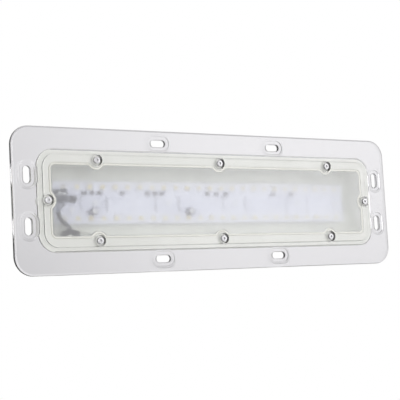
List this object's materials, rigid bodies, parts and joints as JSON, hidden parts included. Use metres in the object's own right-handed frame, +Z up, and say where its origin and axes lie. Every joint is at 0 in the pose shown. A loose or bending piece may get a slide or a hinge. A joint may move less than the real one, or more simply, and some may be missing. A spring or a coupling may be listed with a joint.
{
  "type": "underwater pool light",
  "caption": "Long rectangular underwater pool light: a clear slotted flange with a raised rim, screwed over a sealed cream tray with a frosted window and a white LED board.",
  "frame": {"origin": "centre of the flange's wall face, which is also the centre of the long-side slot pattern", "axes": "+X along the length, with the cable gland at -X; -Y out of the window; +Y into the wall; +Z up"},
  "size_m": [0.49, 0.0355, 0.15],
  "materials": {
    "cover": "clear, moulded, glossy",
    "diffuser": "frosted",
    "gasket": "smooth silicone",
    "housing": "fine satin",
    "brass": "machined",
    "stainless": "turned",
    "washer": "smooth",
    "board": "white solder mask",
    "led": "moulded",
    "chip": "moulded",
    "can": "sleeved",
    "terminal": "moulded",
    "aluminium": "rolled",
    "pad": "matt",
    "cable": "matt",
    "lead_blue": "matt",
    "gland": "moulded nylon",
    "seal": "matt"
  },
  "bodies": {
    "root": {"front_cover": "cover", "diffuser_panel": "diffuser", "main_gasket": "gasket", "rear_housing": "housing", "threaded_inserts": "brass", "cover_screws": "stainless", "sealing_washers": "washer", "led_board": "board", "led_packages": "led", "driver_chips": "chip", "chip_resistors": "chip", "storage_capacitors": "can", "bridge_rectifier": "chip", "terminal_block": "terminal", "terminal_screws": "stainless", "board_screws": "stainless", "heat_spreader": "aluminium", "thermal_pad": "pad", "cable_tail": "cable", "lead_black": "cable", "lead_blue": "lead_blue", "gland_body": "gland", "gland_locknut": "gland", "gland_sealing_ring": "seal", "gland_dome_nut": "gland", "gland_seal_insert": "seal"}
  },
  "joints": []
}
